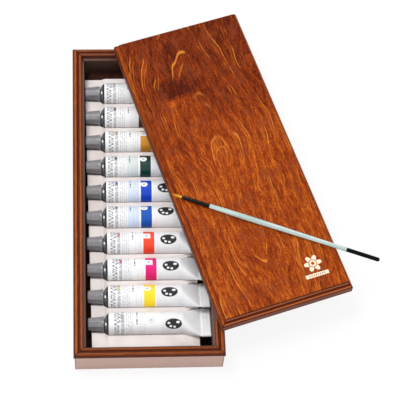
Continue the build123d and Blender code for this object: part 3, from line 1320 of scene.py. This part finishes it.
@dataclass
class CaseBody:
    """The moulded case with its floor and the tray in it."""

    half_width: float = 62.0
    half_length: float = 149.0
    edge: float = 0.28
    tray_edge: float = 0.45
    bands: tuple[Band, ...] = (
        # Painted reflection: pale glare on the walls, up to under the rim.
        Band(-1.0, 25.7, (0.560, 0.385, 0.335), 0.86),
        # Painted shade on the rim's outer edge.
        Band(-1.5, 0.5, (0.065, 0.012, 0.003), 0.88, Measure.INSET, 26.0),
        # Painted highlight on the outer bead.
        Band(0.9, 2.4, (0.330, 0.085, 0.014), 0.75, Measure.INSET, 26.0),
        # Painted shade in the groove.
        Band(2.7, 4.8, (0.055, 0.009, 0.002), 0.90, Measure.INSET, 26.0),
        # Painted highlight on the inner bead.
        Band(5.1, 6.3, (0.280, 0.070, 0.012), 0.75, Measure.INSET, 26.0),
        # Painted shade greying the ledge.
        Band(6.6, 9.8, (0.100, 0.040, 0.026), 0.85, Measure.INSET, 24.0),
        # Painted shade on the inner wall.
        Band(9.0, 20.0, (0.045, 0.018, 0.010), 0.90, Measure.INSET, 3.1),
    )
    shade: Band = Band(-1.5, 9.0, (0.090, 0.020, 0.005), 0.45, Measure.INSET, 26.0)

    def dress(self) -> None:
        """Finish the rails, the floor and the tray."""
        mitre = (self.half_width, self.half_length)
        sides = {"left": (GrainAxis.ALONG, 0.02), "right": (GrainAxis.ALONG, 0.05),
                 "near": (GrainAxis.ACROSS, 0.0), "far": (GrainAxis.ACROSS, -0.04)}
        for side, (axis, tone) in sides.items():
            bands = self.bands if axis is GrainAxis.ALONG else (*self.bands, self.shade)
            finish = StainedWood(f"case_wood_{side}", axis=axis, mitre=mitre, tone=tone, heart=(30.0, 40.0),
                                 bands=bands, gloss=0.15, roughness=0.36)
            softened_copy(f"case_rail_{side}", f"case_moulding_{side}", self.edge, finish.material())
        floor = StainedWood("case_wood_floor", figure=Figure.CATHEDRAL, tone=-0.12,
                            dark=(0.020, 0.007, 0.003), body=(0.060, 0.021, 0.011),
                            light=(0.120, 0.048, 0.026), plum=(0.050, 0.020, 0.012),
                            flame=(0.140, 0.060, 0.030))
        dress_node("case_floor", floor.material())
        softened_copy("tray", "formed_tray", self.tray_edge, FormedPlastic().material())


@dataclass
class Lid:
    """The lid, lying askew on the case."""

    place: Place = Place((72.9, 23.5, 33.8), 17.37)
    half_width: float = 58.25
    half_length: float = 143.75
    ornament: Rosette = Rosette()
    knot: Knot = Knot((-22.5, 79.8))
    edge: float = 0.20
    # Painted shade on the panel's edge face, below its top.
    panel_bands: tuple[Band, ...] = (Band(-1.0, 15.0, (0.045, 0.006, 0.002), 0.85),)
    bands: tuple[Band, ...] = (
        # Painted shade along the bottom edge.
        Band(-1.0, 0.9, (0.035, 0.014, 0.008), 0.75),
        # Painted shade with a greyish painted sheen on the flat side.
        Band(0.9, 7.5, (0.130, 0.050, 0.034), 0.75),
        # Painted shade in the quirk under the lower bead.
        Band(7.5, 8.5, (0.050, 0.008, 0.003), 0.85),
        # Painted highlight on the lower bead.
        Band(8.6, 9.5, (0.560, 0.160, 0.045), 0.70),
        # Painted shade in the cove.
        Band(9.6, 11.8, (0.065, 0.010, 0.003), 0.82),
        # Painted highlight on the upper bead.
        Band(12.1, 13.2, (0.400, 0.140, 0.070), 0.75),
    )
    wall_bands: int = 3

    def dress(self) -> None:
        """Finish the lid's rails and its panel."""
        mitre = (self.half_width, self.half_length)
        sides = {"left": (GrainAxis.ALONG, 0.03), "right": (GrainAxis.ALONG, 0.0),
                 "near": (GrainAxis.ACROSS, -0.03), "far": (GrainAxis.ACROSS, 0.02)}
        for side, (axis, tone) in sides.items():
            bands = self.bands if side in ("near", "right") else self.bands[:self.wall_bands]
            finish = StainedWood(f"lid_wood_{side}", self.place, axis, heart=(20.0, 10.0), mitre=mitre,
                                 bands=bands, tone=tone)
            softened_copy(f"lid_rail_{side}", f"lid_moulding_{side}", self.edge, finish.material())
        panel = StainedWood("lid_wood_panel", self.place, figure=Figure.CATHEDRAL, heart=(-6.0, 30.0),
                            ornament=self.ornament, knot=self.knot, bands=self.panel_bands, tone=0.03)
        dress_node("lid_panel", panel.material())


@dataclass(frozen=True)
class Hue:
    """One tube's colours and how its print lies: turned, moved along, with a square badge."""

    paint: Colour
    band: Optional[Colour] = None
    panel: Optional[Colour] = None
    turn: float = 0.0
    slide: float = 0.0
    square: bool = False


@dataclass
class PaintTubes:
    """The ten tubes and their caps, each lying along X with its cap at the left."""

    radius: float = 9.6
    neck_start: float = 3.7
    neck_radius: float = 3.3
    shoulder_start: float = 13.8
    shoulder_radius: float = 5.2
    body_start: float = 17.5
    taper_start: float = 79.5
    crimp_start: float = 94.5
    end: float = 103.1
    half_flat: float = 15.08
    half_crimp: float = 0.7
    tilt: float = 27.0
    last_tilt: float = 17.0
    dent: float = 0.30
    light_dent: float = 0.12
    dents_per_metre: float = 90.0
    dents_round: float = 6.0
    dents_start: tuple[float, float] = (20.0, 40.0)
    seed_step: float = 3.1
    shoulder_round: float = 0.5
    flat_sides: float = 1.6
    flat_faces: float = 4.0
    fold_step: tuple[float, float] = (0.6, 1.1)
    fold_end: tuple[float, float] = (8.2, 8.6)
    fold_rim: float = 0.45
    pressed_lines: tuple[float, ...] = (3.2, 5.8)
    line_width: float = 0.6
    line_soft: float = 0.4
    line_depth: float = 0.35
    rows: int = 163
    columns: int = 97
    pole_gap: float = 0.003
    cap_length: float = 13.4
    cap_tip: float = 5.55
    cap_base: float = 6.7
    cap_bore: float = 3.6
    cap_edge: float = 0.7
    cap_facets: int = 8
    facet_depth: float = 0.85
    facet_end: tuple[float, float] = (0.82, 0.9)
    cap_mouth: float = 0.985
    cap_rows: int = 90
    cap_columns: int = 129
    hues: list[Hue] = field(default_factory=lambda: [
        Hue((0.75, 0.70, 0.60)),
        Hue((0.10, 0.010, 0.008), (0.090, 0.008, 0.006)),
        Hue((0.66, 0.27, 0.015), (0.640, 0.260, 0.020), None, 4.0, 1.0, True),
        Hue((0.005, 0.040, 0.020), (0.002, 0.040, 0.028), (0.60, 0.68, 0.66)),
        Hue((0.003, 0.040, 0.400), (0.002, 0.050, 0.500), (0.62, 0.70, 0.86)),
        Hue((0.004, 0.060, 0.330), (0.002, 0.080, 0.420), (0.55, 0.66, 0.88), 14.0, -0.5),
        Hue((0.80, 0.060, 0.020), (0.840, 0.060, 0.020), None, 0.0, 0.8, True),
        Hue((0.62, 0.008, 0.110), (0.700, 0.006, 0.170), None, 0.0, 2.0, True),
        Hue((0.90, 0.620, 0.020), (0.930, 0.680, 0.020), None, 5.0),
        Hue((0.85, 0.85, 0.83), None, None, -21.0, 2.6),
    ])

    def place(self, index: int) -> Matrix:
        """Where a tube's own frame lies, in metres.

        Args:
            index: Its number, from 0 at the far end.

        Returns:
            Its place.
        """
        low, high = (Vector(corner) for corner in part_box(f"tube_cap_{index + 1:02d}"))
        return Matrix.Translation(Vector((low.x, (low.y + high.y) / 2, (low.z + high.z) / 2)))

    def sleeve_tree(self) -> ShapeTree:
        """The tree that makes a tube from its neck to its folded end.

        Returns:
            The tree.
        """
        tree = ShapeTree("paint_tube", {
            "Neck Start": self.neck_start * MM, "Neck Radius": self.neck_radius * MM,
            "Start": self.shoulder_start * MM, "Body Start": self.body_start * MM, "End": self.end * MM,
            "Taper Start": self.taper_start * MM, "Crimp Start": self.crimp_start * MM,
            "Shoulder Radius": self.shoulder_radius * MM, "Radius": self.radius * MM,
            "Half Flat": self.half_flat * MM, "Half Crimp": self.half_crimp * MM,
            "Tilt": math.radians(self.tilt), "Dent": self.dent * MM, "Seed": 0.0})
        graph, size = tree.graph, tree.inputs
        sheet, way, turn = wrapped_sheet(tree, self.rows, self.columns)
        steps = self.rows - 1
        path = graph.product(graph.total(graph.product(way, float(steps)), -1.0), 1.0 / (steps - 2))
        walked = graph.math("MAXIMUM", graph.math("MINIMUM", path, 1.0), 0.0)
        length = graph.minus(size["End"], size["Neck Start"])
        x = graph.total(size["Neck Start"], graph.product(walked, length))
        open_part = graph.product(graph.math("GREATER_THAN", path, -self.pole_gap),
                                  graph.math("LESS_THAN", path, 1.0 + self.pole_gap))
        angle = graph.total(graph.product(graph.total(turn, -0.25), 2 * math.pi), size["Tilt"])
        share = graph.slope(x, size["Taper Start"], size["Crimp Start"], 0.0, 1.0)
        circle = graph.product(self.round_radius(tree, x), graph.opposite(share))
        cosine, sine = graph.math("COSINE", angle), graph.math("SINE", angle)
        side = graph.math("MAXIMUM", graph.math("MINIMUM", graph.product(cosine, self.flat_sides), 1.0), -1.0)
        edge = graph.math("MAXIMUM", graph.math("MINIMUM", graph.product(sine, self.flat_faces), 1.0), -1.0)
        across = graph.total(graph.product(circle, cosine), graph.product(size["Half Flat"], share, side))
        up = graph.total(graph.product(circle, sine), graph.product(self.fold_height(tree, x), share, edge))
        spot = graph.vector(graph.product(x, self.dents_per_metre),
                            graph.total(graph.product(turn, self.dents_round), size["Seed"]), size["Seed"])
        dent = graph.product(graph.minus(graph.noise(spot, 1.0), 0.5), size["Dent"], 2.0)
        smooth, dented = self.dents_start
        dent = graph.product(dent, graph.total(graph.product(share, 1.6), 0.25),
                             graph.ease(x, smooth * MM, dented * MM))
        up = graph.total(up, graph.product(dent, sine))
        tilt_cosine, tilt_sine = graph.math("COSINE", size["Tilt"]), graph.math("SINE", size["Tilt"])
        far = graph.total(graph.product(across, tilt_cosine), graph.product(up, tilt_sine))
        high = graph.minus(graph.product(up, tilt_cosine), graph.product(across, tilt_sine))
        position = graph.vector(x, graph.product(far, open_part), graph.product(high, open_part))
        tree.close(placed(tree, sheet, position))
        return tree

    def round_radius(self, tree: ShapeTree, x: Socket) -> Socket:
        """The radius of the round parts: the neck, the shoulder and the body.

        Args:
            tree: The tree.
            x: Distance along the tube.

        Returns:
            The radius.
        """
        graph, size = tree.graph, tree.inputs
        shoulder = graph.slope(x, size["Start"], size["Body Start"], size["Shoulder Radius"], size["Radius"])
        rounded = graph.math("SMOOTH_MIN", shoulder, size["Radius"], self.shoulder_round * MM)
        neck = graph.math("LESS_THAN", x, graph.minus(size["Start"], 0.1 * MM))
        return graph.total(graph.product(neck, size["Neck Radius"]),
                           graph.product(graph.opposite(neck), rounded))

    def fold_height(self, tree: ShapeTree, x: Socket) -> Socket:
        """Half the folded end's thickness: a flat neck, a double fold and two pressed lines.

        Args:
            tree: The tree.
            x: Distance along the tube.

        Returns:
            The half thickness.
        """
        graph, size = tree.graph, tree.inputs
        into = graph.minus(x, size["Crimp Start"])
        step_start, rim_start = self.fold_step[0] * MM, self.fold_end[0] * MM
        step = graph.ease(into, step_start, self.fold_step[1] * MM, self.fold_rim, 1.0)
        lines = [graph.product(graph.span(into, start * MM, (start + self.line_width) * MM,
                                          self.line_soft * MM), self.line_depth)
                 for start in self.pressed_lines]
        rim = graph.ease(into, rim_start, self.fold_end[1] * MM, 1.0, self.fold_rim)
        return graph.product(size["Half Crimp"], step, graph.opposite(graph.total(*lines)), rim)

    def cap_tree(self) -> ShapeTree:
        """The tree that makes a faceted cap with a rounded free end.

        Returns:
            The tree.
        """
        tree = ShapeTree("tube_cap", {
            "Length": self.cap_length * MM, "Tip Radius": self.cap_tip * MM,
            "Base Radius": self.cap_base * MM, "Bore Radius": self.cap_bore * MM,
            "Edge": self.cap_edge * MM, "Facets": float(self.cap_facets),
            "Facet Depth": self.facet_depth})
        graph, size = tree.graph, tree.inputs
        sheet, way, turn = wrapped_sheet(tree, self.cap_rows, self.cap_columns)
        flat_end = graph.minus(size["Tip Radius"], size["Edge"])
        under = graph.minus(size["Base Radius"], size["Bore Radius"])
        whole = graph.total(flat_end, size["Length"], under)
        path = graph.product(way, whole)
        walked = graph.math("MAXIMUM", graph.minus(path, flat_end), 0.0)
        x = graph.math("MINIMUM", walked, size["Length"])
        grown = graph.math("DIVIDE", x, size["Length"])
        growth = graph.product(grown, graph.minus(size["Base Radius"], size["Tip Radius"]))
        plain = graph.total(size["Tip Radius"], growth)
        short = graph.math("MAXIMUM", graph.minus(size["Edge"], x), 0.0)
        square = graph.minus(graph.product(size["Edge"], size["Edge"]), graph.product(short, short))
        round_off = graph.minus(size["Edge"], graph.math("SQRT", graph.math("MAXIMUM", square, 0.0)))
        back = graph.total(size["Bore Radius"], graph.minus(whole, path))
        radius = graph.math("MINIMUM", graph.math("MINIMUM", path, graph.minus(plain, round_off)), back)
        angle = graph.product(turn, 2 * math.pi)
        radius = graph.product(radius, self.facet_scale(tree, angle, grown))
        position = graph.vector(x, graph.product(radius, graph.math("COSINE", angle)),
                                graph.product(radius, graph.math("SINE", angle)))
        tree.close(placed(tree, sheet, position))
        return tree

    def facet_scale(self, tree: ShapeTree, angle: Socket, grown: Socket) -> Socket:
        """How far the cap's flat facets lie inside its circle, round again near the mouth.

        Args:
            tree: The tree.
            angle: The angle round the cap.
            grown: The way along it, 0 to 1.

        Returns:
            The share of the radius.
        """
        graph, size = tree.graph, tree.inputs
        sector = graph.math("DIVIDE", 2 * math.pi, size["Facets"])
        half = graph.product(sector, 0.5)
        inside = graph.minus(graph.math("FLOORED_MODULO", angle, sector), half)
        facet = graph.math("DIVIDE", graph.math("COSINE", half), graph.math("COSINE", inside))
        scale = graph.total(graph.product(facet, size["Facet Depth"]), graph.opposite(size["Facet Depth"]))
        round_part = graph.ease(grown, *self.facet_end)
        return graph.total(graph.product(scale, graph.opposite(round_part)),
                           graph.product(round_part, self.cap_mouth))

    def build(self) -> None:
        """Make and dress the ten tubes, their paint and their caps."""
        sleeve, cap = self.sleeve_tree(), self.cap_tree()
        cap_finish = MouldedPlastic().material()
        steps = self.rows - 1
        sheet_length = (self.end - self.neck_start) * steps / (steps - 2)
        label_start = self.body_start - self.neck_start + sheet_length / steps
        for index, hue in enumerate(self.hues):
            number = f"{index + 1:02d}"
            body = frame["nodes"][f"tube_{number}"]["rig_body"]
            printed = PrintedEnamel(f"printed_enamel_{number}", sheet_length, label_start, hue.band,
                                    hue.panel, hue.turn, hue.slide, hue.square)
            place = self.place(index)
            tilt = self.last_tilt if index == len(self.hues) - 1 else self.tilt
            dent = self.dent if body == "case" else self.light_dent
            piece = sleeve.make(f"printed_tube_{number}", printed.material(), place,
                                Seed=index * self.seed_step, Tilt=math.radians(tilt), Dent=dent * MM)
            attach(piece, body)
            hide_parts(f"tube_{number}")
            report(piece)
            piece = cap.make(f"faceted_cap_{number}", cap_finish, place)
            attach(piece, f"cap_body_{number}")
            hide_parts(f"tube_cap_{number}")
            report(piece)
            dress_node(f"paint_{number}", Gouache(f"gouache_{number}", hue.paint).material())


@dataclass
class Brush:
    """The brush on the lid."""

    place: Place = Place((19.6, -10.55, 51.8), -20.6)
    handle_change: float = 157.5
    hair_length: float = 12.4
    bundle_radius: float = 1.05
    hair_radius: float = 0.05
    hairs: int = 620
    hair_sides: int = 5
    hair_steps: int = 9
    hair_tip: float = 0.25
    belly: float = 1.10
    point: float = 0.13
    rim_short: float = 0.40
    ragged: float = 0.09
    ragged_seed: int = 5
    smooth_angle: float = 30.0

    def hair_tree(self) -> ShapeTree:
        """The tree that sets tapered hairs side by side and draws them to a point.

        Returns:
            The tree.
        """
        tree = ShapeTree("hair_tuft", {
            "Length": self.hair_length * MM, "Bundle Radius": self.bundle_radius * MM,
            "Hair Radius": self.hair_radius * MM, "Hairs": float(self.hairs), "Belly": self.belly,
            "Point": self.point})
        graph, size = tree.graph, tree.inputs
        points = graph.add("GeometryNodePoints", {"Count": size["Hairs"]})
        index = graph.add("GeometryNodeInputIndex").outputs[0]
        reach = graph.math("SQRT", graph.math("DIVIDE", graph.total(index, 0.5), size["Hairs"]))
        angle = graph.product(index, math.pi * (3 - math.sqrt(5)))
        radius = graph.product(reach, size["Bundle Radius"])
        spot = graph.vector(size["Length"], graph.product(radius, graph.math("COSINE", angle)),
                            graph.product(radius, graph.math("SINE", angle)))
        graph.set(points.inputs["Position"], spot)
        hair = graph.add("GeometryNodeMeshCone", {
            "Vertices": self.hair_sides, "Side Segments": self.hair_steps, "Fill Segments": 1,
            "Radius Top": self.hair_tip * MM * self.hair_radius, "Radius Bottom": size["Hair Radius"],
            "Depth": size["Length"]}, fill_type="NGON")
        inputs = {"Geometry": hair.outputs[0], "Rotation": (0.0, -math.pi / 2, 0.0)}
        across = graph.add("GeometryNodeTransform", inputs).outputs[0]
        shorter = graph.opposite(graph.product(graph.math("POWER", reach, 2.0), self.rim_short))
        chance = graph.add("FunctionNodeRandomValue", {"Seed": self.ragged_seed}, data_type="FLOAT")
        ragged = graph.minus(shorter, graph.product(chance.outputs[1], self.ragged))
        inputs = {"Points": points.outputs[0], "Instance": across, "Scale": graph.vector(ragged, 1.0, 1.0)}
        instances = graph.add("GeometryNodeInstanceOnPoints", inputs).outputs[0]
        real = graph.add("GeometryNodeRealizeInstances", {0: instances}).outputs[0]
        tree.close(self.drawn_in(tree, real))
        return tree

    def drawn_in(self, tree: ShapeTree, hairs: Socket) -> Socket:
        """Swell straight hairs to a belly and draw them to a point.

        Args:
            tree: The tree.
            hairs: The straight hairs.

        Returns:
            The shaped tuft.
        """
        graph, size = tree.graph, tree.inputs
        x, y, z = graph.split(graph.add("GeometryNodeInputPosition").outputs[0])
        share = graph.math("DIVIDE", graph.minus(size["Length"], x), size["Length"])
        swell = graph.ease(share, 0.12, 0.48)
        spread = graph.total(1.0, graph.product(swell, graph.minus(size["Belly"], 1.0)))
        draw = graph.ease(share, 0.45, 1.02)
        spread = graph.minus(spread, graph.product(draw, graph.minus(size["Belly"], size["Point"])))
        position = graph.vector(x, graph.product(y, spread), graph.product(z, spread))
        return graph.add("GeometryNodeSetPosition", {"Geometry": hairs, "Position": position}).outputs[0]

    def build(self) -> None:
        """Make the tuft and dress the handle and the ferrule."""
        tuft = self.hair_tree().make("hair_tuft", GoldenHair(self.place).material(), self.place.matrix())
        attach(tuft, "brush")
        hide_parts("brush_tuft")
        report(tuft)
        dress_node("brush_handle", HandleLacquer(self.place, self.handle_change).material())
        dress_node("brush_ferrule", FerruleCoat().material())
        for node in ("brush_handle", "brush_ferrule"):
            mesh = frame["nodes"][node].data
            mesh.shade_smooth()
            mesh.set_sharp_from_angle(angle=math.radians(self.smooth_angle))


@dataclass
class Studio:
    """The camera, the lamps, the white floor and the white surroundings."""

    camera_place: tuple[float, float, float] = (-38.48, -653.28, 1286.04)
    camera_turn: tuple[float, float, float] = (27.33, -2.76, -2.18)
    lens: float = 147.155
    sensor: float = 36.0
    ambient: float = 0.55
    floor_half: float = 3000.0
    floor_white: Colour = (0.92, 0.92, 0.92)
    floor_glow: float = 0.86
    lamps: tuple[tuple[str, tuple[float, float, float], float, float], ...] = (
        ("key", (-500.0, 200.0, 1600.0), 700.0, 16.0),
        ("fill", (500.0, -1100.0, 1200.0), 1100.0, 6.0),
        ("back", (-200.0, 1300.0, 1100.0), 900.0, 4.0),
    )

    def camera(self) -> None:
        """Stand the camera where the photograph was taken from."""
        data = bpy.data.cameras.new("camera")
        data.lens = self.lens
        data.sensor_width = self.sensor
        camera = bpy.data.objects.new("camera", data)
        camera.location = Vector(self.camera_place) * MM
        camera.rotation_euler = Euler([math.radians(angle) for angle in self.camera_turn])
        bpy.context.scene.collection.objects.link(camera)
        bpy.context.scene.camera = camera

    def lights(self) -> None:
        """Hang the soft lamps, each turned to the case."""
        for name, place, size, power in self.lamps:
            data = bpy.data.lights.new(name, "AREA")
            data.shape = "DISK"
            data.size = size * MM
            data.energy = power
            lamp = bpy.data.objects.new(name, data)
            lamp.location = Vector(place) * MM
            lamp.rotation_euler = (-lamp.location).to_track_quat("-Z", "Y").to_euler()
            bpy.context.scene.collection.objects.link(lamp)

    def seen_white(self, graph: Graph) -> Socket:
        """How much a ray should see plain white.

        Args:
            graph: The tree's graph.

        Returns:
            1 for camera, glossy and transmission rays, else 0.
        """
        path = graph.add("ShaderNodeLightPath").outputs
        rays = graph.math("MAXIMUM", path["Is Camera Ray"], path["Is Glossy Ray"])
        return graph.math("MAXIMUM", rays, path["Is Transmission Ray"])

    def surroundings(self) -> None:
        """Make the world white to look at and a soft ambient light."""
        world = bpy.data.worlds.new("surroundings")
        world.use_nodes = True
        world.node_tree.nodes.clear()
        graph = Graph(world.node_tree)
        white = self.seen_white(graph)
        strength = graph.total(graph.product(white, 1.0 - self.ambient), self.ambient)
        shader = graph.add("ShaderNodeBackground", {"Color": (1.0, 1.0, 1.0), "Strength": strength})
        output = graph.add("ShaderNodeOutputWorld")
        graph.set(output.inputs[0], shader.outputs[0])
        bpy.context.scene.world = world

    def floor(self) -> None:
        """Lay a white floor that keeps a soft shadow."""
        half = self.floor_half * MM
        mesh = bpy.data.meshes.new("studio_floor")
        corners = [(-half, -half, 0.0), (half, -half, 0.0), (half, half, 0.0), (-half, half, 0.0)]
        mesh.from_pydata(corners, [], [(0, 1, 2, 3)])
        floor = bpy.data.objects.new("studio_floor", mesh)
        bpy.context.scene.collection.objects.link(floor)
        material, graph = new_material("studio_white")
        diffuse = graph.add("ShaderNodeBsdfDiffuse", {"Color": self.floor_white}).outputs[0]
        glow = graph.add("ShaderNodeEmission", {"Color": (1.0, 1.0, 1.0), "Strength": 1.0}).outputs[0]
        blend = graph.add("ShaderNodeMixShader", {0: graph.product(self.seen_white(graph), self.floor_glow)})
        graph.set(blend.inputs[1], diffuse)
        graph.set(blend.inputs[2], glow)
        output = graph.add("ShaderNodeOutputMaterial")
        graph.set(output.inputs[0], blend.outputs[0])
        mesh.materials.append(material)

    def build(self) -> None:
        """Set the whole studio up."""
        self.camera()
        self.lights()
        self.surroundings()
        self.floor()
        bpy.context.scene.view_settings.view_transform = "Standard"


def main() -> None:
    """Build every sub-assembly in order."""
    logging.basicConfig(level=logging.INFO, format="%(name)s %(message)s")
    Studio().build()
    CaseBody().dress()
    PaintTubes().build()
    Lid().dress()
    Brush().build()


if __name__ == "__main__":
    main()
